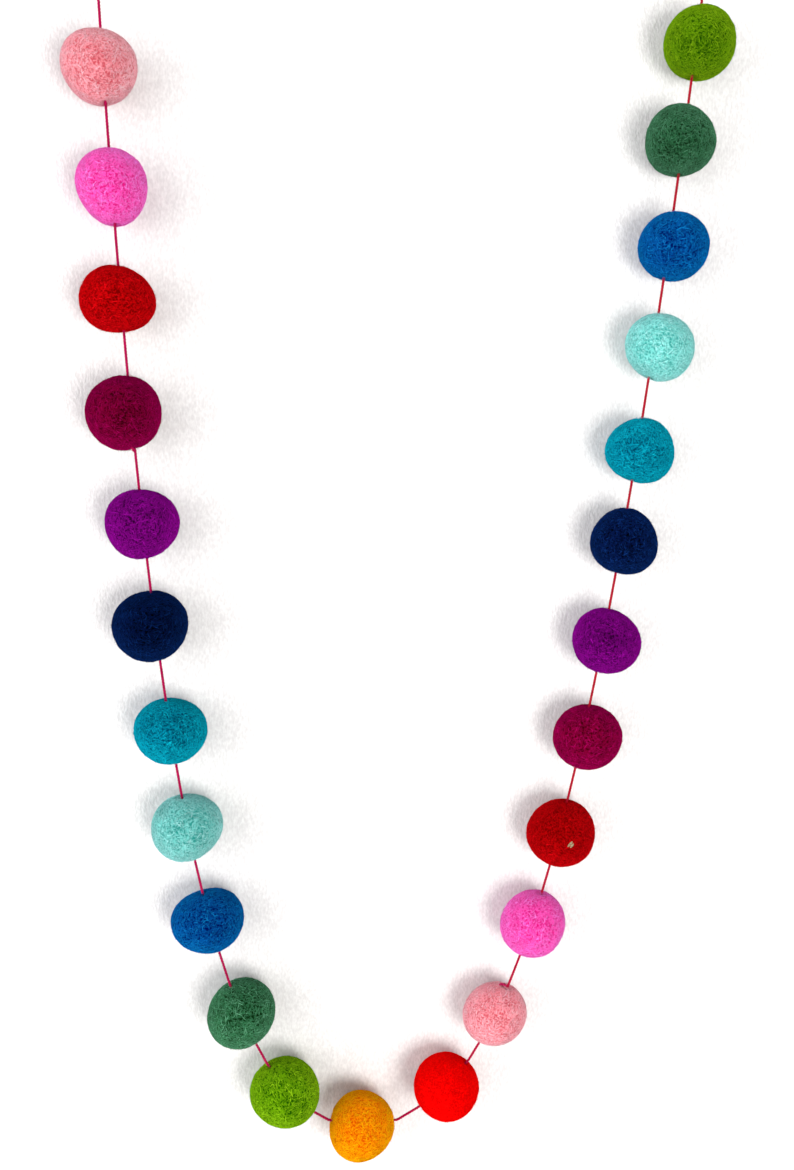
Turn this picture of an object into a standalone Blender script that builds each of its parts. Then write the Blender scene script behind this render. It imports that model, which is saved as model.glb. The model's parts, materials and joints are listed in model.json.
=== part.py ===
"""Felt ball garland: wool felt balls threaded on one string that hangs from a loop at each end.

Units are metres with +Z up. The string hangs in the plane Y = 0, and the backs of the balls
lie against a wall plane at WALL_Y. The origin is where the left loop bears on its nail.
"""

import math
from collections import namedtuple

import bmesh
import bpy
from mathutils import Vector, noise

MM = 0.001

# The hanging line. Each ball adds its weight to the pull of the string, so the slope of the
# string rises by one even step from ball to ball, and is level at the lowest one.
SLOPE_STEP = 1.22
LOWEST_PLACE = 11.05
NAIL_HEIGHT = 472 * MM
WALL_Y = 13 * MM

# The string and its end loops
STRING_DIAMETER = 1 * MM
STRING_RINGS = 2
NAIL_DIAMETER = 3 * MM
LOOP_LENGTH = 22 * MM
LEG_SPREAD = 1.3 * MM
ARC_PAST_LEVEL = 12
ARC_STEPS = 9
KNOT_LENGTH = 4.4 * MM
KNOT_DIAMETER = 3.2 * MM
KNOT_TURNS = 2
KNOT_RIDGE = 0.12
KNOT_SIDES = 14
KNOT_RINGS = 12

# The thread hole in each ball: clear of the string, and puckered open at both mouths
CLEARANCE = 0.3 * MM
HOLE_SIDES = 10
MOUTH_WIDENING = 0.9 * MM
MOUTH_DEPTH = 1.3 * MM
BEND_OUTSIDE = 0.9 * MM
SEARCH_STEP = 0.05 * MM

# The felt's own unevenness
BALL_DIVISIONS = 3
LUMP_HEIGHT = 0.22 * MM
LUMPS_ACROSS = 1.7
LUMP_SHIFT = 7.3

# One row for each ball, from the top left down and round to the top right. Lengths are in
# millimetres and angles in degrees, from +X towards +Z.
# across: mean diameter. long: how far the longest diameter exceeds it, and long_at its angle.
# lobe: height of three soft corners on the outline, and lobe_at the angle of one.
# out: how far the ball's middle lies outside the line of the string. pitch: to the next ball.
Ball = namedtuple("Ball", "wool across long long_at lobe lobe_at out pitch")
BALLS = (
    Ball("light_pink", 24.4, 0.7, -12, 0.3, 27, 1.3, 38.5),
    Ball("bright_pink", 24.3, 1.0, -72, 0.3, 38, 0.0, 37.4),
    Ball("red", 24.1, 1.6, -5, 0.3, -17, 1.4, 38.6),
    Ball("burgundy", 25.9, 0.1, 35, 0.1, -52, 2.5, 38.9),
    Ball("purple", 25.2, 0.7, 6, 0.3, 17, 0.3, 36.6),
    Ball("navy", 26.0, 0.8, 18, 0.2, 36, 1.7, 39.4),
    Ball("teal", 25.0, 1.2, 2, 0.2, 25, -0.1, 37.0),
    Ball("aqua", 25.1, 1.0, 23, 0.3, 18, 0.2, 37.4),
    Ball("blue", 24.9, 2.0, 12, 0.3, 50, 0.3, 39.5),
    Ball("dark_green", 25.3, 1.2, 47, 0.0, 0, -0.7, 37.3),
    Ball("lime", 25.9, 0.7, -18, 0.2, -54, -0.7, 36.5),
    Ball("orange", 25.3, 0.5, 49, 0.4, 0, -5.2, 39.4),
    Ball("scarlet", 25.2, 0.1, -20, 0.1, 32, -1.6, 35.2),
    Ball("light_pink", 24.0, 1.1, 28, 0.0, 0, -0.4, 39.4),
    Ball("bright_pink", 25.1, 0.9, 56, 0.1, 62, 0.3, 37.8),
    Ball("red", 25.8, 0.4, 26, 0.2, -52, 0.7, 38.8),
    Ball("burgundy", 25.3, 0.6, 8, 0.0, 0, 1.9, 37.6),
    Ball("purple", 25.2, 0.9, -30, 0.2, -6, 1.4, 38.1),
    Ball("navy", 24.8, 0.4, -53, 0.3, -38, 1.2, 34.3),
    Ball("teal", 24.6, 0.7, -14, 0.4, -49, 1.4, 38.3),
    Ball("aqua", 24.6, 0.7, -37, 0.1, 40, 2.6, 36.1),
    Ball("blue", 24.9, 0.4, 1, 0.0, 0, 2.1, 36.7),
    Ball("dark_green", 24.7, 0.4, -41, 0.3, -14, -1.0, 33.9),
    Ball("lime", 24.9, 0.1, -29, 0.1, -31, 1.4, 0.0),
)

WOOL_ROUGHNESS = 0.95
STRING_COLOUR = (0.62, 0.008, 0.075)
WOOL_COLOURS = {
    "light_pink": (0.80, 0.31, 0.34),
    "bright_pink": (0.84, 0.10, 0.46),
    "red": (0.45, 0.003, 0.005),
    "burgundy": (0.18, 0.002, 0.035),
    "purple": (0.17, 0.004, 0.18),
    "navy": (0.006, 0.015, 0.060),
    "teal": (0.005, 0.24, 0.36),
    "aqua": (0.20, 0.62, 0.56),
    "blue": (0.005, 0.09, 0.31),
    "dark_green": (0.030, 0.13, 0.062),
    "lime": (0.17, 0.34, 0.006),
    "orange": (0.93, 0.29, 0.004),
    "scarlet": (0.87, 0.006, 0.002),
}


def clear_scene():
    for thing in list(bpy.data.objects):
        bpy.data.objects.remove(thing, do_unlink=True)


def finish_of(name, colour, roughness):
    """A Principled material with this colour, made once for each name."""
    if name in bpy.data.materials:
        return bpy.data.materials[name]
    finish = bpy.data.materials.new(name)
    finish.use_nodes = True
    shader = finish.node_tree.nodes["Principled BSDF"]
    shader.inputs["Base Color"].default_value = (*colour, 1)
    shader.inputs["Roughness"].default_value = roughness
    shader.inputs["Metallic"].default_value = 0
    return finish


def object_from(bm, name):
    """Closes a bmesh into a smooth-shaded object."""
    bmesh.ops.recalc_face_normals(bm, faces=bm.faces)
    mesh = bpy.data.meshes.new(name)
    bm.to_mesh(mesh)
    bm.free()
    mesh.shade_smooth()
    mesh.set_sharp_from_angle(angle=math.radians(50))
    thing = bpy.data.objects.new(name, mesh)
    bpy.context.scene.collection.objects.link(thing)
    return thing


def as_helper(thing):
    """Marks an object that only shapes another one."""
    thing.hide_render = True
    thing.display_type = "WIRE"
    return thing


def combine(target, other, operation):
    step = target.modifiers.new(other.name, "BOOLEAN")
    step.operation = operation
    step.solver = "EXACT"
    step.object = as_helper(other)


def string_direction(place):
    """Where the string points, left to right, at a place along the row counted in balls."""
    return Vector((1, 0, SLOPE_STEP * (place - LOWEST_PLACE))).normalized()


def outward(direction):
    """The side of the string that faces out of the hanging curve."""
    return Vector((direction.z, 0, -direction.x))


def hanging_line():
    """The point of the string's line at each ball, and both nail points, from the left one."""
    line = [Vector((0, 0, 0))]
    for place, ball in enumerate(BALLS[:-1]):
        line.append(line[-1] + ball.pitch * MM * string_direction(place + 0.5))
    lowest = line[round(LOWEST_PLACE)].z
    nails = []
    for end, place in ((line[0], -0.5), (line[-1], len(BALLS) - 0.5)):
        direction = string_direction(place)
        rise = lowest + NAIL_HEIGHT - end.z
        nails.append(end + direction * rise / direction.z)
    left_nail = nails[0]
    return [point - left_nail for point in line], [nail - left_nail for nail in nails]


def felt_radius(ball, number, direction):
    """Distance from the ball's middle to its surface, along a unit direction."""
    flat = math.hypot(direction.x, direction.z)
    angle = math.atan2(direction.z, direction.x)
    longer = ball.long / 2 * math.cos(2 * (angle - math.radians(ball.long_at)))
    corner = ball.lobe * math.cos(3 * (angle - math.radians(ball.lobe_at)))
    lump = noise.noise(direction * LUMPS_ACROSS + Vector((number * LUMP_SHIFT, 0, 0)))
    outline = ball.across / 2 + longer * flat**2 + corner * flat**3
    return outline * MM + lump * LUMP_HEIGHT


def distance_out(ball, number, middle, start, direction):
    """How far a straight hole runs from start until it leaves the ball."""
    distance = 0
    while True:
        offset = start + direction * distance - middle
        if offset.length > felt_radius(ball, number, offset.normalized()):
            return distance
        distance += SEARCH_STEP


def thread_hole(name, centre, direction, half_length):
    """A turned cutter along the string, narrow inside the ball and wide past both mouths."""
    narrow = (STRING_DIAMETER / 2 + CLEARANCE) / math.cos(math.pi / HOLE_SIDES)
    wide = narrow + MOUTH_WIDENING
    inside = half_length - MOUTH_DEPTH
    beyond = half_length + 2 * MOUTH_DEPTH
    profile = ((-beyond, wide), (-half_length, wide), (-inside, narrow))
    profile += tuple((-along, radius) for along, radius in reversed(profile))
    across = Vector((0, 1, 0)).cross(direction)
    bm = bmesh.new()
    rings = []
    for along, radius in profile:
        ring = []
        for side in range(HOLE_SIDES):
            turn = 2 * math.pi * side / HOLE_SIDES
            spoke = across * math.cos(turn) + Vector((0, 1, 0)) * math.sin(turn)
            ring.append(bm.verts.new(centre + direction * along + spoke * radius))
        rings.append(ring)
    bridge_rings(bm, rings)
    return object_from(bm, name)


def bridge_rings(bm, rings):
    """Joins rings of points into a closed tube."""
    for ring, after in zip(rings, rings[1:]):
        for side in range(len(ring)):
            turn = (side + 1) % len(ring)
            bm.faces.new((ring[side], ring[turn], after[turn], after[side]))
    bm.faces.new(rings[0])
    bm.faces.new(rings[-1])


def felt_ball(number, ball, on_line):
    """Makes one ball with its thread hole, and returns where the string enters and leaves it."""
    before = string_direction(number - 0.5)
    after = string_direction(number + 0.5)
    along = (before + after).normalized()
    out = outward(along)
    middle = on_line + out * ball.out * MM
    middle.y = WALL_Y - ball.across / 2 * MM
    half_bend = before.angle(after) / 2
    centre = on_line - out * ball.across / 2 * MM * math.tan(half_bend)

    ahead = distance_out(ball, number, middle, centre, along)
    behind = distance_out(ball, number, middle, centre, -along)
    hole_middle = centre + along * (ahead - behind) / 2
    half_length = (ahead + behind) / 2

    name = f"ball_{number + 1:02d}_{ball.wool}"
    bm = bmesh.new()
    bmesh.ops.create_icosphere(bm, subdivisions=BALL_DIVISIONS, radius=1)
    for vert in bm.verts:
        direction = vert.co.normalized()
        vert.co = middle + direction * felt_radius(ball, number, direction)
    thing = object_from(bm, name)
    thing.data.materials.append(finish_of(ball.wool, WOOL_COLOURS[ball.wool], WOOL_ROUGHNESS))
    combine(thing, thread_hole(f"hole_{number + 1:02d}", hole_middle, along, half_length),
            "DIFFERENCE")
    return centre - along * (behind + BEND_OUTSIDE), centre + along * (ahead + BEND_OUTSIDE)


def tube(name, points):
    """String along a list of points, as a mesh."""
    curve = bpy.data.curves.new(name, "CURVE")
    curve.dimensions = "3D"
    curve.bevel_depth = STRING_DIAMETER / 2
    curve.bevel_resolution = STRING_RINGS
    curve.use_fill_caps = True
    spline = curve.splines.new("POLY")
    spline.points.add(len(points) - 1)
    for target, point in zip(spline.points, points):
        target.co = (*point, 1)
    guide = bpy.data.objects.new(name, curve)
    bpy.context.scene.collection.objects.link(guide)
    bpy.context.view_layer.update()
    swept = guide.evaluated_get(bpy.context.evaluated_depsgraph_get())
    bm = bmesh.new()
    bm.from_mesh(bpy.data.meshes.new_from_object(swept))
    bpy.data.objects.remove(guide)
    bmesh.ops.remove_doubles(bm, verts=bm.verts, dist=STRING_DIAMETER / 1000)
    return object_from(bm, name)


def loop_points(nail, pull):
    """Up one leg from the knot, over the nail and down the other leg."""
    side = Vector((pull.z, 0, -pull.x))
    radius = (NAIL_DIAMETER + STRING_DIAMETER) / 2
    arc_middle = nail - pull * NAIL_DIAMETER / 2
    knot = nail - pull * LOOP_LENGTH
    points = [knot - side * LEG_SPREAD / 2]
    for step in range(ARC_STEPS):
        sweep = 180 + 2 * ARC_PAST_LEVEL
        turn = math.radians(180 + ARC_PAST_LEVEL - sweep * step / (ARC_STEPS - 1))
        points.append(arc_middle + (side * math.cos(turn) + pull * math.sin(turn)) * radius)
    return points + [knot + side * LEG_SPREAD / 2]


def knot(name, middle, pull):
    """A small turned lump with a ridge for each turn of string drawn tight round it."""
    side = Vector((pull.z, 0, -pull.x))
    bm = bmesh.new()
    rings = []
    for ring in range(KNOT_RINGS):
        share = (ring + 0.5) / KNOT_RINGS
        ridge = 1 - KNOT_RIDGE * math.cos(2 * math.pi * KNOT_TURNS * share)
        radius = KNOT_DIAMETER / 2 * math.sin(math.pi * share) ** 0.5 * ridge
        level = middle + pull * KNOT_LENGTH * (share - 0.5)
        ring_points = []
        for corner in range(KNOT_SIDES):
            turn = 2 * math.pi * corner / KNOT_SIDES
            spoke = side * math.cos(turn) + Vector((0, 1, 0)) * math.sin(turn)
            ring_points.append(bm.verts.new(level + spoke * radius))
        rings.append(ring_points)
    bridge_rings(bm, rings)
    return object_from(bm, name)


def string_through(mouths, nails):
    """The one string: through every ball, with a knotted loop at each end."""
    pulls = (-string_direction(-0.5), string_direction(len(BALLS) - 0.5))
    knots = [nail - pull * LOOP_LENGTH for nail, pull in zip(nails, pulls)]
    string = tube("string", [knots[0], *mouths, knots[1]])
    string.data.materials.append(finish_of("string", STRING_COLOUR, WOOL_ROUGHNESS))
    for end, nail, pull, middle in zip(("left", "right"), nails, pulls, knots):
        combine(string, knot(f"{end}_knot", middle, pull), "UNION")
        combine(string, tube(f"{end}_loop", loop_points(nail, pull)), "UNION")


def build():
    clear_scene()
    line, nails = hanging_line()
    mouths = []
    for number, (ball, on_line) in enumerate(zip(BALLS, line)):
        mouths.extend(felt_ball(number, ball, on_line))
    string_through(mouths, nails)


build()
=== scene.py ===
# %% [markdown]
# # A garland of felt balls
# Twenty-four wool felt balls hang on one crimson string. The solids of the balls and of the
# string are loaded first and stay where they are: everything made below is fitted to them.

# %% Load the fixed frame
import json
import math
from collections import namedtuple

import bmesh
import bpy
import numpy as np
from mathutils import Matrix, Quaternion, Vector, noise


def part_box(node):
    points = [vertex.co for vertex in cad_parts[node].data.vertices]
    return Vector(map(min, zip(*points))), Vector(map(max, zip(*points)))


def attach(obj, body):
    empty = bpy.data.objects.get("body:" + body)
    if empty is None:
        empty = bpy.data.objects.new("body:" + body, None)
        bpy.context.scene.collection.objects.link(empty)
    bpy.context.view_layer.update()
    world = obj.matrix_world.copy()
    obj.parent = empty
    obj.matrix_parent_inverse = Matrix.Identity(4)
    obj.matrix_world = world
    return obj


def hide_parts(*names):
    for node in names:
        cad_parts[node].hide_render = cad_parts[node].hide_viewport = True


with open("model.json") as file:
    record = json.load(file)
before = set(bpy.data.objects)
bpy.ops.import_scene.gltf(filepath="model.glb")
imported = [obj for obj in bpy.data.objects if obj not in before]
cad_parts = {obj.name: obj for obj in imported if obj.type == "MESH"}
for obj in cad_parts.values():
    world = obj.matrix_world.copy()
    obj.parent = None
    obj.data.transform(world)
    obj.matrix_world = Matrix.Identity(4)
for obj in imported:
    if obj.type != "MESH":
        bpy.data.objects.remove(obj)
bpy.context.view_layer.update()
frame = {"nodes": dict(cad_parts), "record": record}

# %% [markdown]
# ## Names and units
# The frame is in metres and a felt ball is easier to think about in millimetres, so `MM` turns
# one into the other. The two nails come from the record, and the balls from the frame's names.

# %% Units and the pieces to dress
MM = 0.001
BALL_NODES = sorted(name for name in frame["nodes"] if name.startswith("ball_"))
MOUNTS = {mount["name"]: Vector(mount["pos_m"]) for mount in frame["record"]["mounts"]}
LEFT_NAIL = MOUNTS["left_loop"]
RIGHT_NAIL = MOUNTS["right_loop"]
TOWARDS_VIEWER = Vector((0, -1, 0))
print(len(BALL_NODES), "balls between nails at", LEFT_NAIL, RIGHT_NAIL)

# %% [markdown]
# ## The camera
# The picture was taken from near the wall, a little left of the middle, turned slightly to the
# right and down and rolled by two degrees. Balls near its corners look stretched for that
# reason. The lens is given by its height in pixels, because the picture is 794 by 1170.

# %% Camera
PICTURE_HEIGHT = 1170
FOCAL_PIXELS = 1150
SENSOR_HEIGHT = 36
CAMERA_PLACE = Vector((54.1, -413.6, -196.0)) * MM
CAMERA_TARGET = Vector((111.2, 0, -253.1)) * MM
CAMERA_ROLL = math.radians(2.14)

camera_data = bpy.data.cameras.new("camera")
camera_data.sensor_fit = "VERTICAL"
camera_data.sensor_height = SENSOR_HEIGHT
camera_data.lens = SENSOR_HEIGHT * FOCAL_PIXELS / PICTURE_HEIGHT
camera_data.clip_start = 0.01
camera = bpy.data.objects.new("camera", camera_data)
bpy.context.scene.collection.objects.link(camera)
camera.location = CAMERA_PLACE
camera.rotation_mode = "QUATERNION"
gaze = (CAMERA_TARGET - CAMERA_PLACE).to_track_quat("-Z", "Y")
camera.rotation_quaternion = gaze @ Quaternion((0, 0, 1), CAMERA_ROLL)
bpy.context.scene.camera = camera
print("lens", round(camera_data.lens, 2), "mm")

# %% [markdown]
# ## The stage
# The garland hangs against a white wall. Its shadows tell the eye that the balls stand off the
# wall, so a backdrop stands just behind them and curves into a pale floor. From behind, the
# backdrop lets the view through, so that the back of the garland can be looked at too.

# %% Backdrop and floor in one curved sheet
WALL_Y = 13.6 * MM
STAGE_WIDTH = 4.0
STAGE_TOP = 1.4
FLOOR_Z = -1.3
COVE_RADIUS = 0.12
COVE_STEPS = 12
FLOOR_DEPTH = 2.6


def stage_profile():
    """Points (y, z) from the top of the wall down round the cove and out over the floor."""
    points = [(WALL_Y, STAGE_TOP)]
    for step in range(COVE_STEPS + 1):
        turn = math.pi / 2 * step / COVE_STEPS
        y = WALL_Y - COVE_RADIUS * (1 - math.cos(turn))
        points.append((y, FLOOR_Z + COVE_RADIUS * (1 - math.sin(turn))))
    points.append((WALL_Y - FLOOR_DEPTH, FLOOR_Z))
    return points


def make_backdrop():
    middle = (LEFT_NAIL.x + RIGHT_NAIL.x) / 2
    corners = []
    faces = []
    for y, z in stage_profile():
        corners.append((middle - STAGE_WIDTH / 2, y, z))
        corners.append((middle + STAGE_WIDTH / 2, y, z))
    for row in range(len(corners) // 2 - 1):
        first = 2 * row
        faces.append((first, first + 2, first + 3, first + 1))
    mesh = bpy.data.meshes.new("backdrop")
    mesh.from_pydata(corners, [], faces)
    mesh.shade_smooth()
    backdrop = bpy.data.objects.new("backdrop", mesh)
    bpy.context.scene.collection.objects.link(backdrop)
    return backdrop


backdrop = make_backdrop()
print("backdrop faces the viewer:", backdrop.data.polygons[0].normal.y < 0)

# %% [markdown]
# ## Small helpers for materials
# Every material below is a node tree, and the same three moves come back each time: add a
# node, set its sockets, and link it. These helpers keep those moves on one line each.

# %% Node helpers


def new_material(name):
    """A material with only its Principled shader, and that shader."""
    material = bpy.data.materials.new(name)
    material.use_nodes = True
    return material, material.node_tree.nodes["Principled BSDF"]


def add_node(tree, kind, **settings):
    """Adds a node and sets its properties by name."""
    node = tree.nodes.new(kind)
    for name, value in settings.items():
        setattr(node, name, value)
    return node


def feed(tree, node, **inputs):
    """Sets or links a node's inputs by name, with _ for a space."""
    for name, value in inputs.items():
        socket = node.inputs[name.replace("_", " ")]
        if isinstance(value, bpy.types.NodeSocket):
            tree.links.new(value, socket)
        else:
            socket.default_value = value
    return node


def ramp(tree, value, low, high):
    """Stretches a value so that low becomes 0 and high becomes 1."""
    node = add_node(tree, "ShaderNodeMapRange", clamp=True)
    feed(tree, node, Value=value, From_Min=low, From_Max=high)
    return node.outputs["Result"]


def arithmetic(tree, operation, first, second):
    node = add_node(tree, "ShaderNodeMath", operation=operation)
    for socket, value in zip(node.inputs, (first, second)):
        if isinstance(value, bpy.types.NodeSocket):
            tree.links.new(value, socket)
        else:
            socket.default_value = value
    return node.outputs[0]


def blend_colours(tree, share, first, second):
    """First colour where share is 0, second where it is 1."""
    node = add_node(tree, "ShaderNodeMix", data_type="RGBA")
    for socket, value in ((node.inputs[0], share), (node.inputs[6], first), (node.inputs[7], second)):
        if isinstance(value, bpy.types.NodeSocket):
            tree.links.new(value, socket)
        else:
            socket.default_value = value
    return node.outputs[2]


def linear(red, green, blue):
    """A colour given on a screen scale, 0 to 255, as the light values a shader works in."""
    values = []
    for channel in (red, green, blue):
        share = channel / 255
        values.append(share / 12.92 if share <= 0.04045 else ((share + 0.055) / 1.055) ** 2.4)
    return (*values, 1.0)


print("helpers ready")

# %% [markdown]
# ## The painted wall
# The wall is so bright that its paint shows only in the shadows, as a fine grain that runs up
# and down. A noise drawn out upwards gives that grain to the bump and a little to the colour.

# %% Wall material
WALL_PAINT = (0.75, 0.745, 0.74, 1)
WALL_PAINT_DEEP = (0.63, 0.62, 0.617, 1)
GRAIN_PER_METRE = 1300
GRAIN_STRETCH = 0.5


def wall_material():
    material, shader = new_material("wall_paint")
    tree = material.node_tree
    place = add_node(tree, "ShaderNodeTexCoord")
    squeeze = add_node(tree, "ShaderNodeMapping")
    feed(tree, squeeze, Vector=place.outputs["Object"], Scale=(1, 1, GRAIN_STRETCH))
    grain = add_node(tree, "ShaderNodeTexNoise")
    feed(tree, grain, Vector=squeeze.outputs[0], Scale=GRAIN_PER_METRE, Detail=3.0)
    height = ramp(tree, grain.outputs["Fac"], 0.35, 0.7)
    bump = add_node(tree, "ShaderNodeBump")
    feed(tree, bump, Height=height, Strength=0.5, Distance=0.2 * MM)
    colour = blend_colours(tree, height, WALL_PAINT_DEEP, WALL_PAINT)
    feed(tree, shader, Base_Color=colour, Roughness=0.9, Normal=bump.outputs[0])
    see_through = add_node(tree, "ShaderNodeBsdfTransparent")
    side = add_node(tree, "ShaderNodeNewGeometry")
    choose = add_node(tree, "ShaderNodeMixShader")
    tree.links.new(side.outputs["Backfacing"], choose.inputs[0])
    tree.links.new(shader.outputs[0], choose.inputs[1])
    tree.links.new(see_through.outputs[0], choose.inputs[2])
    tree.links.new(choose.outputs[0], tree.nodes["Material Output"].inputs["Surface"])
    return material


backdrop.data.materials.append(wall_material())
print("wall painted")

# %% [markdown]
# ## Light
# The shadows fall to the left and a little up, with wide soft edges, so one large lamp stands
# low on the right. Yet the balls are brightest along their left sides and darkest on top and in
# the middle: the room is bright at the left and below, and dim behind the viewer. The sky is
# therefore a smooth function of direction: its squares brighten the sides, and its slopes tip
# that brightness to the left and down. A small window close by on the left fills the shadows of
# the balls on that side, which are fainter than those on the right.

# %% Sky and lamps
SKY_COLOUR = (0.985, 0.975, 1.0, 1)
SKY_BASE = 0.24
SKY_SQUARES = (2.20, 0.25, 0.35)
SKY_SLOPES = (-1.60, 0.12, -0.05)
SCENE_MIDDLE = Vector((107, 0, -255)) * MM
KEY_PLACE = SCENE_MIDDLE + Vector((0.50, -1.25, -0.21))
KEY_SIZE = 0.80
KEY_WATTS = 19
WINDOW_PLACE = SCENE_MIDDLE + Vector((-0.55, -0.38, 0.05))
WINDOW_SIZE = 0.50
WINDOW_WATTS = 1.2
LAMP_COLOUR = (1.0, 0.985, 0.96)


def make_sky():
    sky = bpy.data.worlds.new("sky")
    sky.use_nodes = True
    tree = sky.node_tree
    direction = add_node(tree, "ShaderNodeTexCoord").outputs["Generated"]
    squares = add_node(tree, "ShaderNodeVectorMath", operation="MULTIPLY")
    tree.links.new(direction, squares.inputs[0])
    tree.links.new(direction, squares.inputs[1])
    strength = SKY_BASE
    for source, weights in ((squares.outputs[0], SKY_SQUARES), (direction, SKY_SLOPES)):
        weigh = add_node(tree, "ShaderNodeVectorMath", operation="DOT_PRODUCT")
        tree.links.new(source, weigh.inputs[0])
        weigh.inputs[1].default_value = weights
        strength = arithmetic(tree, "ADD", weigh.outputs["Value"], strength)
    feed(tree, tree.nodes["Background"], Color=SKY_COLOUR, Strength=strength)
    return sky


def add_lamp(name, place, size, watts):
    lamp_data = bpy.data.lights.new(name, "AREA")
    lamp_data.shape = "DISK"
    lamp_data.size = size
    lamp_data.energy = watts
    lamp_data.color = LAMP_COLOUR
    lamp = bpy.data.objects.new(name, lamp_data)
    bpy.context.scene.collection.objects.link(lamp)
    lamp.location = place
    lamp.rotation_euler = (SCENE_MIDDLE - place).to_track_quat("-Z", "Y").to_euler()
    return lamp


bpy.context.scene.world = make_sky()
add_lamp("key_lamp", KEY_PLACE, KEY_SIZE, KEY_WATTS)
add_lamp("window", WINDOW_PLACE, WINDOW_SIZE, WINDOW_WATTS)
bpy.context.scene.view_settings.view_transform = "Standard"
print("a sky, a key lamp and a window")

# %% [markdown]
# ## Felted wool
# Wet felting mats wool fibres into a dense skin. Seen from a hand's length it has three scales:
# soft patches where the dye took differently, specks about a millimetre wide, and fine curling
# fibres. One node group makes all three, so thirteen dyes can share it. It takes the colours
# and gives back a colour and a height; the shader itself stays in each material.

# %% The felt node group
PATCHES_PER_METRE = 150
SPECKS_PER_METRE = 1500
FIBRES_PER_METRE = 700
PILE_PER_METRE = 4200


def felt_group():
    group = bpy.data.node_groups.new("felted wool", "ShaderNodeTree")
    face = group.interface
    for name, kind in (
        ("Dye", "NodeSocketColor"),
        ("Deep", "NodeSocketColor"),
        ("Pale", "NodeSocketColor"),
        ("Patch", "NodeSocketFloat"),
        ("Speckle", "NodeSocketFloat"),
        ("Fibre", "NodeSocketFloat"),
    ):
        face.new_socket(name, in_out="INPUT", socket_type=kind)
    face.new_socket("Colour", in_out="OUTPUT", socket_type="NodeSocketColor")
    face.new_socket("Height", in_out="OUTPUT", socket_type="NodeSocketFloat")
    source = group.nodes.new("NodeGroupInput").outputs
    result = group.nodes.new("NodeGroupOutput").inputs
    place = add_node(group, "ShaderNodeTexCoord").outputs["Object"]

    def noise_share(per_metre, low, high, detail, distortion, **settings):
        texture = add_node(group, "ShaderNodeTexNoise", **settings)
        feed(group, texture, Vector=place, Scale=per_metre, Detail=detail, Distortion=distortion)
        return ramp(group, texture.outputs["Fac"], low, high)

    patches = noise_share(PATCHES_PER_METRE, 0.36, 0.66, 2.0, 0.8)
    specks = noise_share(SPECKS_PER_METRE, 0.46, 0.60, 2.0, 0.6)
    fibres = noise_share(FIBRES_PER_METRE, 0.6, 1.2, 3.0, 2.4, noise_type="RIDGED_MULTIFRACTAL")
    pile = noise_share(PILE_PER_METRE, 0.3, 0.7, 1.0, 0.0)

    strand = add_node(group, "ShaderNodeAttribute", attribute_name="tone").outputs["Fac"]
    patch_depth = arithmetic(group, "MULTIPLY", patches, source["Patch"])
    # The specks are sunk into the relief and coloured towards Deep: partly the felt's own mottling,
    # partly painted shade in those hollows.
    speck_depth = arithmetic(group, "MULTIPLY", specks, source["Speckle"])
    depth = arithmetic(group, "ADD", patch_depth, speck_depth)
    depth = arithmetic(group, "SUBTRACT", depth, strand)
    body = blend_colours(group, depth, source["Dye"], source["Deep"])
    # Painted highlight: the raised fibre ridges are coloured towards Pale, and each strand's own tone is
    # added.
    fibre_highlight_and_tone = arithmetic(group, "MULTIPLY", fibres, source["Fibre"])
    fibre_highlight_and_tone = arithmetic(group, "ADD", fibre_highlight_and_tone, strand)
    colour = blend_colours(group, fibre_highlight_and_tone, body, source["Pale"])

    hollow = arithmetic(group, "MULTIPLY", specks, 0.9)
    relief = arithmetic(group, "SUBTRACT", fibres, hollow)
    relief = arithmetic(group, "ADD", relief, arithmetic(group, "MULTIPLY", pile, 0.5))
    # Every colour is scaled by the ball's own brightness shift, brighter or darker than its dye.
    brightness_shift = add_node(group, "ShaderNodeAttribute", attribute_name="brightness_shift").outputs["Fac"]
    scaled_colour = add_node(group, "ShaderNodeVectorMath", operation="SCALE")
    feed(group, scaled_colour, Vector=colour, Scale=arithmetic(group, "ADD", brightness_shift, 1.0))
    group.links.new(scaled_colour.outputs[0], result["Colour"])
    group.links.new(relief, result["Height"])
    return group


FELT = felt_group()
print("felt group with", len(FELT.nodes), "nodes")

# %% [markdown]
# ## Thirteen dyes
# The run of colours repeats after thirteen balls. Each dye is the colour of the felt itself. Its
# hollows are some levels deeper, partly the felt's own mottling and partly painted shade, and the
# loose fibres are as much paler, a painted highlight for the light they catch. A soft sheen
# stands for the down that lifts off the edge of every ball. Two balls of one dye never look quite
# alike, so some balls have all their colours made a little brighter or darker than their dye.

# %% Wool materials
LIGHT_ON_BALLS = 1.16
SHADE_LEVELS = 90


def seen_as(red, green, blue):
    """The dye that shows on a screen as this colour, 0 to 255, once the lights shine on it."""
    return (*(channel / LIGHT_ON_BALLS for channel in linear(red, green, blue)[:3]), 1.0)


def shifted(colour, levels):
    """A colour some levels paler or deeper, less so in its darkest and its brightest channels."""
    result = []
    for value in colour:
        reach = value / (value + 25) * (1 - 0.6 * (value / 255) ** 4)
        result.append(min(255, max(0, value + levels * reach)))
    return result


WOOLS = {
    "light_pink": (250, 152, 163),
    "bright_pink": (255, 85, 188),
    "red": (174, 3, 6),
    "burgundy": (119, 2, 45),
    "purple": (109, 5, 111),
    "navy": (4, 17, 58),
    "teal": (4, 135, 161),
    "aqua": (122, 213, 206),
    "blue": (4, 75, 149),
    "dark_green": (44, 99, 64),
    "lime": (93, 144, 8),
    "orange": (255, 148, 4),
    "scarlet": (255, 3, 2),
}
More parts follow.
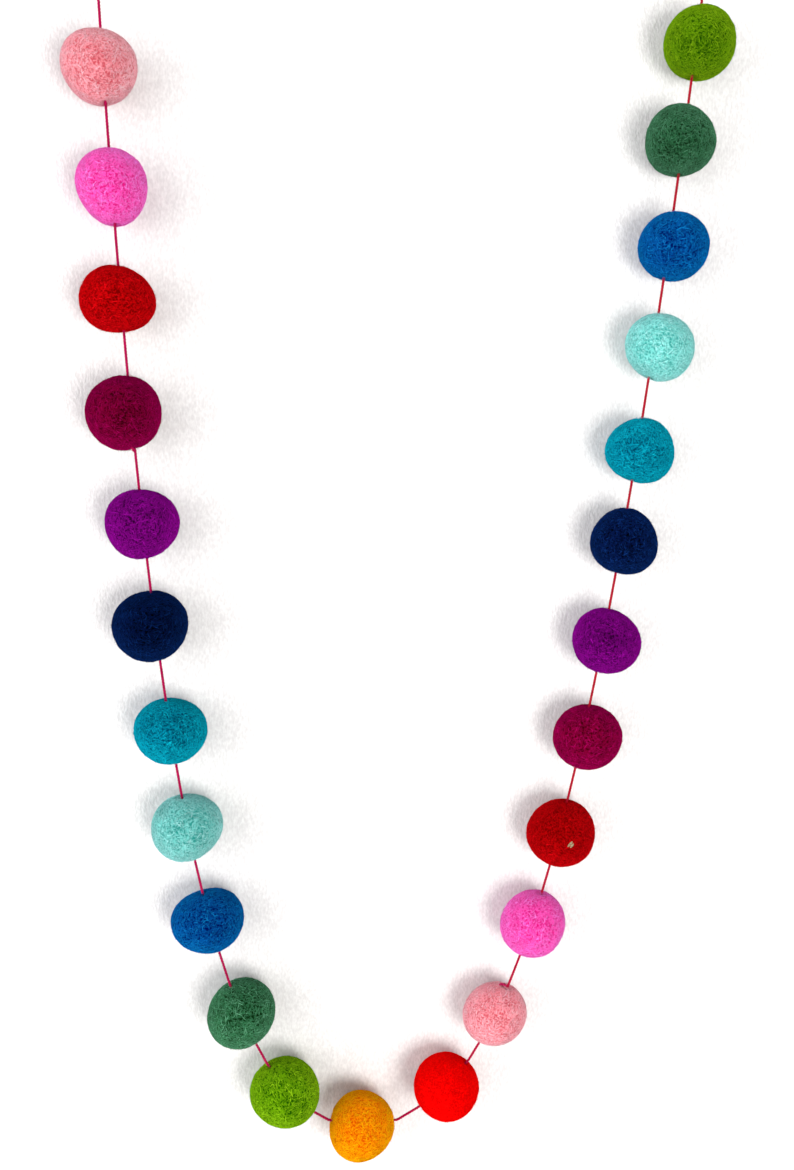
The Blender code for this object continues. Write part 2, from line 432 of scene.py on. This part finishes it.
# Per ball, how much brighter (above 0) or darker (below 0) all its colours are made than its dye.
BRIGHTNESS_SHIFTS = {
    "ball_01_light_pink": -0.05, "ball_14_light_pink": 0.05, "ball_03_red": 0.1, "ball_16_red": -0.1,
    "ball_04_burgundy": -0.14, "ball_17_burgundy": 0.14, "ball_05_purple": 0.08,
    "ball_18_purple": -0.08, "ball_06_navy": -0.2, "ball_19_navy": 0.2, "ball_08_aqua": -0.1,
    "ball_21_aqua": 0.1, "ball_10_dark_green": 0.24, "ball_23_dark_green": -0.24,
    "ball_11_lime": 0.3, "ball_24_lime": -0.28,
}
PATCH = 0.35
SPECKLE = 1.0
# How much paler the raised fibres are painted, as a painted highlight.
FIBRE_HIGHLIGHT = 0.7
SHEEN = 1.0


def wool_material(name, colour):
    dye, deep, pale = (seen_as(*shifted(colour, step * SHADE_LEVELS)) for step in (0, -1, 1))
    material, shader = new_material("wool_" + name)
    tree = material.node_tree
    felt = add_node(tree, "ShaderNodeGroup", node_tree=FELT)
    feed(tree, felt, Dye=dye, Deep=deep, Pale=pale, Patch=PATCH, Speckle=SPECKLE, Fibre=FIBRE_HIGHLIGHT)
    bump = add_node(tree, "ShaderNodeBump")
    feed(tree, bump, Height=felt.outputs["Height"], Strength=1.0, Distance=0.3 * MM)
    feed(tree, shader, Base_Color=felt.outputs["Colour"], Roughness=1.0, Normal=bump.outputs[0])
    shader.inputs["Specular IOR Level"].default_value = 0.0
    shader.inputs["Sheen Weight"].default_value = SHEEN
    shader.inputs["Sheen Roughness"].default_value = 0.35
    shader.inputs["Sheen Tint"].default_value = pale
    return material


WOOL_MATERIALS = {name: wool_material(name, colour) for name, colour in WOOLS.items()}
print(len(WOOL_MATERIALS), "dyes:", ", ".join(WOOL_MATERIALS))


def wool_of(node):
    """The dye's name, which follows the number in a ball's name."""
    return node.split("_", 2)[2]


def mark_points(mesh, name, values):
    """Keeps one number a point on the mesh, for its material."""
    mark = mesh.attributes.new(name, "FLOAT", "POINT")
    mark.data.foreach_set("value", np.asarray(values, dtype=np.float32))


# %% [markdown]
# ## The shape of each ball
# No two hand-rolled balls are alike, and each solid in the frame has its own outline, but with
# flat facets. Its outer corners lie on the true surface. A smooth radius is fitted through
# them: a sum of simple products of the direction, whose weights come from least squares.

# %% A smooth radius through a solid's corners
HIGHEST_POWER = 4


def products(directions):
    """Columns x^a * y^b * z^c with a + b + c up to the highest power."""
    x, y, z = directions.T
    columns = []
    for a in range(HIGHEST_POWER + 1):
        for b in range(HIGHEST_POWER + 1 - a):
            for c in range(HIGHEST_POWER + 1 - a - b):
                columns.append(x**a * y**b * z**c)
    return np.column_stack(columns)


def outer_corners(node):
    """The corners of a node that lie on its convex hull, which leaves out its thread hole."""
    bm = bmesh.new()
    bm.from_mesh(frame["nodes"][node].data)
    hull = bmesh.ops.convex_hull(bm, input=bm.verts)["geom"]
    corners = [tuple(item.co) for item in hull if isinstance(item, bmesh.types.BMVert)]
    bm.free()
    return np.array(corners)


class Form:
    """The middle of a ball and its radius in any direction."""

    def __init__(self, node):
        low, high = (np.array(corner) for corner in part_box(node))
        self.middle = (low + high) / 2
        offsets = outer_corners(node) - self.middle
        lengths = np.linalg.norm(offsets, axis=1)
        directions = offsets / lengths[:, None]
        self.weights = np.linalg.lstsq(products(directions), lengths, rcond=None)[0]
        self.misfit = np.abs(products(directions) @ self.weights - lengths).max()

    def radius(self, directions):
        return products(directions) @ self.weights


FORMS = {node: Form(node) for node in BALL_NODES}
print("largest misfit, mm:", round(max(form.misfit for form in FORMS.values()) / MM, 3))

# %% [markdown]
# ## Where the string goes
# The string's solid is a tube with a ring of corners at each of its bends, and it bends only
# where it enters or leaves a ball. So the mean of each ring is a point of the route, and no
# list of points has to be kept here. Rings are found by grouping corners that lie close.

# %% Mouths of the thread holes
RING_REACH = 1.2 * MM
KNOT_DROP = 26 * MM


def ring_middles():
    """Middles of the tube's rings below the end loops."""
    corners = np.array([tuple(v.co) for v in frame["nodes"]["string"].data.vertices])
    corners = corners[corners[:, 2] < LEFT_NAIL.z - KNOT_DROP]
    middles = []
    while len(corners):
        near = np.linalg.norm(corners - corners[0], axis=1) < RING_REACH
        middles.append(corners[near].mean(axis=0))
        corners = corners[~near]
    return np.array(middles)


def mouths_by_ball():
    """For each ball, where the string enters and leaves it, from the left nail onwards."""
    rings = ring_middles()
    mouths = {}
    last = np.array(LEFT_NAIL)
    for node in BALL_NODES:
        nearest = np.argsort(np.linalg.norm(rings - FORMS[node].middle, axis=1))[:2]
        pair = sorted(rings[nearest], key=lambda point: np.linalg.norm(point - last))
        mouths[node] = pair
        last = pair[1]
    return mouths


MOUTHS = mouths_by_ball()
print(len(MOUTHS), "balls threaded; first mouth", MOUTHS[BALL_NODES[0]][0].round(4))

# %% [markdown]
# ## Rolling the felt
# Each ball starts as a finely divided icosphere pushed out to its fitted radius. Soft lumps make
# the skin uneven, as hand-rolled felt is, and the string pulls a small pucker into it at both
# ends of its hole, with folds that run out like the creases round a button.

# %% Felt balls
BALL_DIVISIONS = 6
NAP = 0.10 * MM
LUMP_HEIGHT = 0.16 * MM
LUMPS_PER_METRE = 260
CRUMB_HEIGHT = 0.15 * MM
CRUMBS_PER_METRE = 900
PUCKER_DEPTH = 0.95 * MM
PUCKER_WIDTH = 1.5 * MM
FOLD_HEIGHT = 0.10 * MM
FOLDS = 7


def unit_sphere(divisions):
    bm = bmesh.new()
    bmesh.ops.create_icosphere(bm, subdivisions=divisions, radius=1)
    points = np.array([tuple(v.co) for v in bm.verts])
    faces = [tuple(v.index for v in face.verts) for face in bm.faces]
    bm.free()
    return points / np.linalg.norm(points, axis=1)[:, None], faces


SPHERE_POINTS, SPHERE_FACES = unit_sphere(BALL_DIVISIONS)


def skin_lumps(points):
    """Uneven height of the skin at each point, in metres."""
    heights = []
    for point in points:
        place = Vector(point)
        lump = noise.noise(place * LUMPS_PER_METRE)
        crumb = noise.noise(place * CRUMBS_PER_METRE)
        heights.append(lump * LUMP_HEIGHT + crumb * CRUMB_HEIGHT)
    return np.array(heights)


def pucker(points, mouth, middle):
    """How far the string draws the skin in around one mouth, with its creases."""
    axis = (mouth - middle) / np.linalg.norm(mouth - middle)
    offsets = points - mouth
    beside = offsets - np.outer(offsets @ axis, axis)
    away = np.linalg.norm(beside, axis=1)
    same_side = (points - middle) @ axis > 0
    first = np.cross(axis, (0.0, 1.0, 0.0))
    turn = np.arctan2(beside @ np.cross(axis, first), beside @ first)
    pit = PUCKER_DEPTH * np.exp(-((away / PUCKER_WIDTH) ** 2))
    crease = FOLD_HEIGHT * np.cos(FOLDS * turn) * (away / PUCKER_WIDTH)
    crease = crease * np.exp(-((away / (1.6 * PUCKER_WIDTH)) ** 2))
    return np.where(same_side, pit + crease, 0.0)


def felt_ball(node):
    form = FORMS[node]
    base = form.middle + SPHERE_POINTS * form.radius(SPHERE_POINTS)[:, None]
    height = skin_lumps(base) + NAP
    for mouth in MOUTHS[node]:
        height = height - pucker(base, mouth, form.middle)
    points = base + SPHERE_POINTS * height[:, None]
    mesh = bpy.data.meshes.new(node + "_felt")
    mesh.from_pydata(points.tolist(), [], SPHERE_FACES)
    mesh.shade_smooth()
    mesh.materials.append(WOOL_MATERIALS[wool_of(node)])
    mark_points(mesh, "brightness_shift", [BRIGHTNESS_SHIFTS.get(node, 0.0)] * len(points))
    ball = bpy.data.objects.new(node + "_felt", mesh)
    bpy.context.scene.collection.objects.link(ball)
    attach(ball, "root")
    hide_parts(node)
    return ball


for node in BALL_NODES:
    felt_ball(node)
print("balls of", len(SPHERE_FACES), "triangles each")

# %% [markdown]
# ## Wisps and hairs
# A felt ball is never bald. Wisps of fibre lie matted on its skin in curls, some darker and some
# paler than the rest, and fine hairs stand clear of it and blur its edge. The hairs are all a little
# paler, a painted highlight for the light they catch there. Each is a thin tapered ribbon of three
# quads, and all of one ball's are one mesh. Their directions drift slowly over the ball, so they
# lie in swirls, as they do when a ball is rolled between two hands.

# %% Fibres on each ball
Fibres = namedtuple("Fibres", "count width length lift tone stands")
WISPS = Fibres(1500, (0.10, 0.24), (1.2, 3.6), (0.02, 0.08), (-0.9, 1.0), False)
# Hairs always take a paler tone: a painted highlight for the light they catch at the ball's edge.
HAIRS = Fibres(1100, (0.09, 0.15), (0.7, 2.0), (0.15, 0.6), (0.1, 1.0), True)
RIBBON_STEPS = 3
SWIRLS_PER_METRE = 150


def unit(vectors):
    return vectors / np.linalg.norm(vectors, axis=-1, keepdims=True)


def swirl(points):
    """A slowly turning direction at each point, from noise."""
    return np.array([tuple(noise.noise_vector(Vector(p) * SWIRLS_PER_METRE)) for p in points])


def lay_fibres(draw, form, kind):
    """Centre lines, side directions, widths and tones of one kind of fibre on one ball."""
    out = unit(draw.normal(size=(kind.count, 3)))
    roots = form.middle + out * form.radius(out)[:, None]
    heading = swirl(roots) * 1.8 + unit(draw.normal(size=out.shape))
    heading = unit(heading - out * (heading * out).sum(axis=1)[:, None])
    bend = np.cross(out, heading) * draw.normal(0, 0.45, kind.count)[:, None]
    widths, lengths, lifts = (
        draw.uniform(*limits, kind.count) * MM for limits in (kind.width, kind.length, kind.lift)
    )
    lines = []
    for step in range(RIBBON_STEPS + 1):
        share = step / RIBBON_STEPS
        along = (heading * share + bend * share**2) * lengths[:, None]
        towards = unit(roots + along - form.middle)
        rise = lifts * (share if kind.stands else math.sin(math.pi * share))
        lines.append(form.middle + towards * (form.radius(towards) + NAP + rise)[:, None])
    sides = unit(np.cross(out, heading))
    tones = draw.uniform(*kind.tone, kind.count)
    return np.stack(lines, axis=1), sides, widths, tones


def ribbon_mesh(name, lines, sides, widths, tones, material):
    """Tapered ribbons as one mesh. lines is (ribbons, points, 3)."""
    count, steps, _ = lines.shape
    taper = np.sin(np.linspace(0.12, 0.97, steps) * math.pi) / 2
    half = sides[:, None, :] * (widths[:, None] * taper)[:, :, None]
    points = np.stack([lines - half, lines + half], axis=2).reshape(-1, 3)
    first = (np.arange(count)[:, None] * steps + np.arange(steps - 1)).ravel() * 2
    faces = np.stack([first, first + 1, first + 3, first + 2], axis=1)
    mesh = bpy.data.meshes.new(name)
    mesh.from_pydata(points.tolist(), [], faces.tolist())
    mesh.shade_smooth()
    mark_points(mesh, "tone", np.repeat(tones, steps * 2))
    mesh.materials.append(material)
    thing = bpy.data.objects.new(name, mesh)
    bpy.context.scene.collection.objects.link(thing)
    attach(thing, "root")
    return thing


def ball_fibres(number, node):
    draw = np.random.default_rng(1000 + number)
    kinds = [lay_fibres(draw, FORMS[node], kind) for kind in (WISPS, HAIRS)]
    lines, sides, widths, tones = (np.concatenate(pair) for pair in zip(*kinds))
    material = WOOL_MATERIALS[wool_of(node)]
    fibres = ribbon_mesh(node + "_fibres", lines, sides, widths, tones, material)
    mark_points(fibres.data, "brightness_shift", [BRIGHTNESS_SHIFTS.get(node, 0.0)] * len(fibres.data.vertices))


for number, node in enumerate(BALL_NODES):
    ball_fibres(number, node)
print(WISPS.count, "wisps and", HAIRS.count, "hairs on each ball")

# %% [markdown]
# ## The route of the string
# The string starts as a short cut end under the left knot, goes up through the knot and over the
# nail, comes back down through the same knot and then runs through every ball. At the right it
# does the same in reverse. Its corners are rounded a little, as soft yarn rounds them.

# %% String route
STRING_DIAMETER = 1 * MM
NAIL_DIAMETER = 3 * MM
LOOP_LENGTH = 22 * MM
LEG_SPREAD = 1.3 * MM
ARC_PAST_LEVEL = 12
ARC_STEPS = 12
TAIL_LENGTH = 5 * MM
TAIL_SPLAY = 1.6 * MM
ROUTE_STEP = 0.35 * MM
ROUNDING = 5


def loop_route(nail, pull, turn_sign):
    """Up from a cut end through the knot, over the nail and back down to the knot."""
    side = np.array((pull[2], 0, -pull[0])) * turn_sign
    radius = (NAIL_DIAMETER + STRING_DIAMETER) / 2
    arc_middle = nail - pull * NAIL_DIAMETER / 2
    knot = nail - pull * LOOP_LENGTH
    points = [knot - pull * TAIL_LENGTH - side * TAIL_SPLAY, knot - side * LEG_SPREAD / 2]
    for step in range(ARC_STEPS + 1):
        sweep = 180 + 2 * ARC_PAST_LEVEL
        turn = math.radians(180 + ARC_PAST_LEVEL - sweep * step / ARC_STEPS)
        points.append(arc_middle + (side * math.cos(turn) + pull * math.sin(turn)) * radius)
    points.append(knot + side * LEG_SPREAD / 2)
    points.append(knot - pull * LEG_SPREAD * 2)
    return points, knot


def end_pull(nail, mouth):
    pull = np.array(nail) - mouth
    return pull / np.linalg.norm(pull)


def evenly(points, step):
    """The same line with points every step."""
    points = np.array(points)
    lengths = np.concatenate([[0], np.cumsum(np.linalg.norm(np.diff(points, axis=0), axis=1))])
    places = np.linspace(0, lengths[-1], int(round(lengths[-1] / step)) + 1)
    return np.column_stack([np.interp(places, lengths, points[:, axis]) for axis in range(3)])


def rounded(points, reach):
    """Each point becomes the mean of its neighbours, and the ends stay."""
    padded = np.vstack([points[:1].repeat(reach, 0), points, points[-1:].repeat(reach, 0)])
    kernel = np.ones(2 * reach + 1) / (2 * reach + 1)
    smooth = np.column_stack([np.convolve(padded[:, axis], kernel, "valid") for axis in range(3)])
    smooth[0], smooth[-1] = points[0], points[-1]
    return smooth


LEFT_PULL = end_pull(LEFT_NAIL, MOUTHS[BALL_NODES[0]][0])
RIGHT_PULL = end_pull(RIGHT_NAIL, MOUTHS[BALL_NODES[-1]][1])
left_end, LEFT_KNOT = loop_route(np.array(LEFT_NAIL), LEFT_PULL, 1)
right_end, RIGHT_KNOT = loop_route(np.array(RIGHT_NAIL), RIGHT_PULL, -1)
through_balls = [point for node in BALL_NODES for point in MOUTHS[node]]
ROUTE = rounded(evenly(left_end + through_balls + right_end[::-1], ROUTE_STEP), ROUNDING // 2)

# %% [markdown]
# ## Twisted yarn
# The string is three plies laid round each other. Every ply is its own thin tube that winds
# round the route. A frame carried along the route without twisting tells where "round" begins,
# and two attributes remember how far along and how far round each point is, for the material.

# %% Yarn mesh
PLIES = 3
PLY_RADIUS = 0.27 * MM
PLY_OFFSET = 0.275 * MM
TURN_LENGTH = 3.1 * MM
PLY_SIDES = 6


def carried_frames(points):
    """Direction, and two spokes square to it, at each point."""
    forward = unit(np.gradient(points, axis=0))
    first = np.empty_like(points)
    spoke = np.array((0.0, 1.0, 0.0))
    for index, direction in enumerate(forward):
        spoke = spoke - direction * (spoke @ direction)
        spoke = spoke / np.linalg.norm(spoke)
        first[index] = spoke
    return forward, first, np.cross(forward, first)


def yarn_points(points, start_turn=0.0):
    """Rings of every ply along a line, with their along and around values."""
    _, first, second = carried_frames(points)
    lengths = np.concatenate([[0], np.cumsum(np.linalg.norm(np.diff(points, axis=0), axis=1))])
    corners = []
    marks = []
    for ply in range(PLIES):
        phase = 2 * math.pi * (lengths / TURN_LENGTH + ply / PLIES) + start_turn
        middle = points + PLY_OFFSET * (first * np.cos(phase)[:, None] + second * np.sin(phase)[:, None])
        for side in range(PLY_SIDES):
            turn = phase + 2 * math.pi * side / PLY_SIDES
            spoke = first * np.cos(turn)[:, None] + second * np.sin(turn)[:, None]
            corners.append(middle + spoke * PLY_RADIUS)
            marks.append(np.column_stack([lengths / MM, np.full(len(points), side / PLY_SIDES),
                                          np.full(len(points), float(ply))]))
    return np.array(corners), np.array(marks)


def yarn_mesh(name, points, material):
    corners, marks = yarn_points(points)
    rings = corners.shape[1]
    faces = []
    for ply in range(PLIES):
        for side in range(PLY_SIDES):
            here = (ply * PLY_SIDES + side) * rings
            beside = (ply * PLY_SIDES + (side + 1) % PLY_SIDES) * rings
            for ring in range(rings - 1):
                faces.append((here + ring, here + ring + 1, beside + ring + 1, beside + ring))
        sides = [(ply * PLY_SIDES + side) * rings for side in range(PLY_SIDES)]
        faces.append(tuple(sides))
        faces.append(tuple(side + rings - 1 for side in reversed(sides)))
    mesh = bpy.data.meshes.new(name)
    mesh.from_pydata(corners.reshape(-1, 3).tolist(), [], faces)
    bm = bmesh.new()
    bm.from_mesh(mesh)
    bmesh.ops.recalc_face_normals(bm, faces=bm.faces)
    bm.to_mesh(mesh)
    bm.free()
    mesh.shade_smooth()
    mark = mesh.attributes.new("yarn", "FLOAT_VECTOR", "POINT")
    mark.data.foreach_set("vector", marks.reshape(-1).astype(np.float32))
    mesh.materials.append(material)
    thing = bpy.data.objects.new(name, mesh)
    bpy.context.scene.collection.objects.link(thing)
    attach(thing, "root")
    return thing


CRIMSON_TURNS_RED = (450, 700)


def string_material():
    """Crimson at the left end, and redder towards the right, as hand-dyed thread is."""
    material, shader = new_material("string")
    tree = material.node_tree
    felt = add_node(tree, "ShaderNodeGroup", node_tree=FELT)
    yarn = add_node(tree, "ShaderNodeAttribute", attribute_name="yarn")
    along = add_node(tree, "ShaderNodeSeparateXYZ")
    feed(tree, along, Vector=yarn.outputs["Vector"])
    fade = ramp(tree, along.outputs["X"], *CRIMSON_TURNS_RED)
    for name, crimson, red in (("Dye", (190, 8, 86), (180, 20, 44)), ("Deep", (132, 2, 52), (140, 6, 24)),
                               ("Pale", (226, 38, 116), (220, 52, 70))):
        feed(tree, felt, **{name: blend_colours(tree, fade, seen_as(*crimson), seen_as(*red))})
    feed(tree, felt, Patch=0.2, Speckle=0.6, Fibre=0.4)
    stretch = add_node(tree, "ShaderNodeMapping")
    feed(tree, stretch, Vector=yarn.outputs["Vector"], Scale=(1.6, 9.0, 5.0))
    hairs = add_node(tree, "ShaderNodeTexNoise")
    feed(tree, hairs, Vector=stretch.outputs[0], Scale=1.0, Detail=2.0)
    height = arithmetic(tree, "ADD", hairs.outputs["Fac"], felt.outputs["Height"])
    bump = add_node(tree, "ShaderNodeBump")
    feed(tree, bump, Height=height, Strength=0.5, Distance=0.08 * MM)
    feed(tree, shader, Base_Color=felt.outputs["Colour"], Roughness=0.85, Normal=bump.outputs[0])
    shader.inputs["Specular IOR Level"].default_value = 0.1
    shader.inputs["Sheen Weight"].default_value = 0.25
    shader.inputs["Sheen Tint"].default_value = seen_as(232, 50, 90)
    return material


STRING_MATERIAL = string_material()
string = yarn_mesh("string_yarn", ROUTE, STRING_MATERIAL)
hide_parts("string")
print("yarn triangles:", sum(len(face.vertices) - 2 for face in string.data.polygons))

# %% [markdown]
# ## The knots
# Each loop is closed by a knot. Drawn tight, it shows as a few turns of the same yarn round the
# legs of the loop, so it is modelled as one more length of yarn wound in a short helix.

# %% Knots
KNOT_TURNS = 2.6
KNOT_RADIUS = 1.05 * MM
KNOT_PITCH = 1.02 * MM
KNOT_STEPS = 60


def knot_route(middle, pull):
    side = np.array((pull[2], 0, -pull[0]))
    depth = np.array((0.0, 1.0, 0.0))
    points = []
    for step in range(KNOT_STEPS + 1):
        share = step / KNOT_STEPS
        turn = 2 * math.pi * KNOT_TURNS * share
        tuck = min(1.0, 6 * min(share, 1 - share)) ** 0.5
        spoke = side * math.cos(turn) + depth * math.sin(turn)
        level = pull * KNOT_PITCH * KNOT_TURNS * (share - 0.5)
        points.append(middle + level + spoke * KNOT_RADIUS * (0.35 + 0.65 * tuck))
    return evenly(points, ROUTE_STEP)


left_knot = yarn_mesh("left_knot", knot_route(LEFT_KNOT, LEFT_PULL), STRING_MATERIAL)
right_knot = yarn_mesh("right_knot", knot_route(RIGHT_KNOT, RIGHT_PULL), STRING_MATERIAL)
print("two knots")

# %% [markdown]
# ## Back stitches
# Where it leaves some balls, the string comes out on the ball's face first and takes one short
# stitch over the felt to the mouth of the hole. Each stitch is a little yarn of its own: it
# starts and ends in the felt and lies on it between.

# %% Stitches on four balls
STITCHES = {
    "ball_01_light_pink": (0.07, 0.84),
    "ball_02_bright_pink": (0.02, 0.90),
    "ball_04_burgundy": (0.18, 0.90),
    "ball_14_light_pink": (0.16, -0.88),
}
STITCH_RISE = 0.45 * MM
STITCH_SINK = 0.5 * MM


def towards_viewer(middle, right, down):
    """A direction on a ball, in shares of its radius right and down of where it faces the lens."""
    toward = (CAMERA_PLACE - Vector(middle)).normalized()
    across = camera.rotation_quaternion @ Vector((1, 0, 0))
    up = toward.cross(across).normalized()
    out = toward * math.sqrt(1 - right**2 - down**2) + across * right - up * down
    return unit(np.array(out))


def stitch(node):
    """Yarn over the felt from a place that faces the viewer to the mouth it leaves by."""
    form = FORMS[node]
    start = towards_viewer(form.middle, *STITCHES[node])
    finish = unit(MOUTHS[node][1] - form.middle)
    points = []
    for share in np.linspace(0, 1, 13):
        out = unit(start + (finish - start) * share)
        height = math.sin(math.pi * share) * STITCH_RISE - abs(2 * share - 1) ** 3 * STITCH_SINK
        points.append(form.middle + out * (form.radius(out[None])[0] + NAP + height))
    return yarn_mesh(node + "_stitch", evenly(points, ROUTE_STEP), STRING_MATERIAL)


stitches = [stitch(node) for node in STITCHES]
print(len(stitches), "stitches")

# %% [markdown]
# ## A straw in the felt
# Wool keeps bits of hay. One red ball has a fleck of straw caught in its skin, low on its right
# side. It is two small spindles side by side, pressed halfway into the felt at the place on
# the ball that a viewer at the camera sees it.

# %% Straw fleck
FLECK_BALL = "ball_16_red"
FLECK_RIGHT = 0.28
FLECK_DOWN = 0.34
FLECK_LENGTH = 2.7 * MM
FLECK_WIDTH = 1.5 * MM
FLECK_LEAN = math.radians(40)


def straw_material():
    material, shader = new_material("straw")
    tree = material.node_tree
    place = add_node(tree, "ShaderNodeTexCoord")
    grain = add_node(tree, "ShaderNodeTexNoise")
    feed(tree, grain, Vector=place.outputs["Object"], Scale=2600.0, Detail=2.0)
    share = ramp(tree, grain.outputs["Fac"], 0.4, 0.6)
    colour = blend_colours(tree, share, seen_as(96, 76, 52), seen_as(168, 150, 112))
    feed(tree, shader, Base_Color=colour, Roughness=0.8)
    return material


def straw_fleck():
    form = FORMS[FLECK_BALL]
    out = towards_viewer(form.middle, FLECK_RIGHT, FLECK_DOWN)
    seat = form.middle + out * (form.radius(out[None])[0] + NAP)
    bm = bmesh.new()
    for shift, size in ((-0.3, 1.0), (0.35, 0.8)):
        spindle = bmesh.ops.create_icosphere(bm, subdivisions=3, radius=0.5)["verts"]
        for vert in spindle:
            x, y, z = vert.co
            vert.co = Vector(((x * 0.6 + shift) * FLECK_WIDTH, y * 0.3 * MM, z * size * FLECK_LENGTH))
    mesh = bpy.data.meshes.new("straw_fleck")
    bm.to_mesh(mesh)
    bm.free()
    mesh.shade_smooth()
    mesh.materials.append(straw_material())
    fleck = bpy.data.objects.new("straw_fleck", mesh)
    bpy.context.scene.collection.objects.link(fleck)
    fleck.rotation_mode = "QUATERNION"
    facing = TOWARDS_VIEWER.rotation_difference(Vector(out))
    fleck.rotation_quaternion = facing @ Quaternion((0, 1, 0), FLECK_LEAN)
    fleck.location = Vector(seat)
    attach(fleck, "root")


straw_fleck()
print("one straw fleck on", FLECK_BALL)
